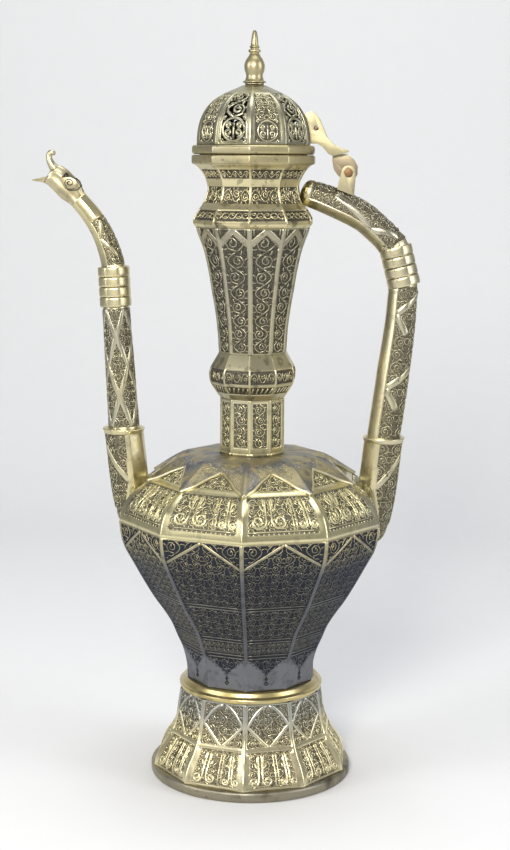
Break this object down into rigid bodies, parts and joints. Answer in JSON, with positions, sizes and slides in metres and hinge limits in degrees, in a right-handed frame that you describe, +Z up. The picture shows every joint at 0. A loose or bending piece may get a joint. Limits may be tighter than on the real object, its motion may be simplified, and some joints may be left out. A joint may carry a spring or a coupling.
{
  "type": "silver water ewer",
  "caption": "Tall faceted silver ewer with a flared foot, pear belly, ringed neck, hinged dome lid, bird-headed spout and loop handle.",
  "frame": {"origin": "on the ground, midway between the tip of the spout's beak and the handle's rings, 14.2 mm from the vessel's axis towards the spout", "axes": "+Z up along the vessel's axis, +X towards the handle and the hinge, -X towards the spout, -Y towards the viewer"},
  "size_m": [0.1966, 0.1384, 0.3805],
  "materials": {
    "chased_silver": "gilded silver with chased foliage, bright relief over a darkened ground",
    "dark_silver": "tarnished silver with chased foliage, bluish grey where it is plain",
    "bright_silver": "gilded silver, smooth and polished, softly worn",
    "ivory_silver": "pale cast silver, satin",
    "copper": "brown copper pin and rivet, satin"
  },
  "bodies": {
    "vessel": {"foot_rim": "bright_silver", "foot_shell": "chased_silver", "foot_ledge": "bright_silver", "body_floor": "dark_silver", "body_lower": "dark_silver", "body_shoulder": "chased_silver", "star_collar": "chased_silver", "neck_stem": "chased_silver", "neck_knop": "chased_silver", "neck_flare": "dark_silver", "mouth_collar": "chased_silver", "mouth_rim": "bright_silver", "handle_upper": "chased_silver", "handle_ring_1": "bright_silver", "handle_ring_2": "bright_silver", "handle_ring_3": "bright_silver", "handle_ring_4": "bright_silver", "handle_lower": "chased_silver", "handle_socket": "chased_silver", "hinge_lug": "ivory_silver", "hinge_pin": "copper", "spout_socket": "chased_silver", "spout_lower": "chased_silver", "spout_ring_1": "bright_silver", "spout_ring_2": "bright_silver", "spout_ring_3": "bright_silver", "spout_ring_4": "bright_silver", "spout_upper": "chased_silver", "spout_head": "bright_silver", "spout_crest": "bright_silver", "head_boss_front": "bright_silver", "head_boss_back": "bright_silver"},
    "lid": {"lid_rim": "bright_silver", "lid_skirt": "dark_silver", "lid_dome": "chased_silver", "finial": "bright_silver", "finial_washer": "dark_silver", "thumb_strap": "ivory_silver", "strap_tongue": "ivory_silver", "strap_rivet": "copper"}
  },
  "joints": [
    {"name": "lid_hinge", "type": "hinge", "parent": "vessel", "child": "lid", "pos_m": [0.06152, 0, 0.3112], "axis": [0, 1, 0], "range_deg": [0, 105]}
  ]
}
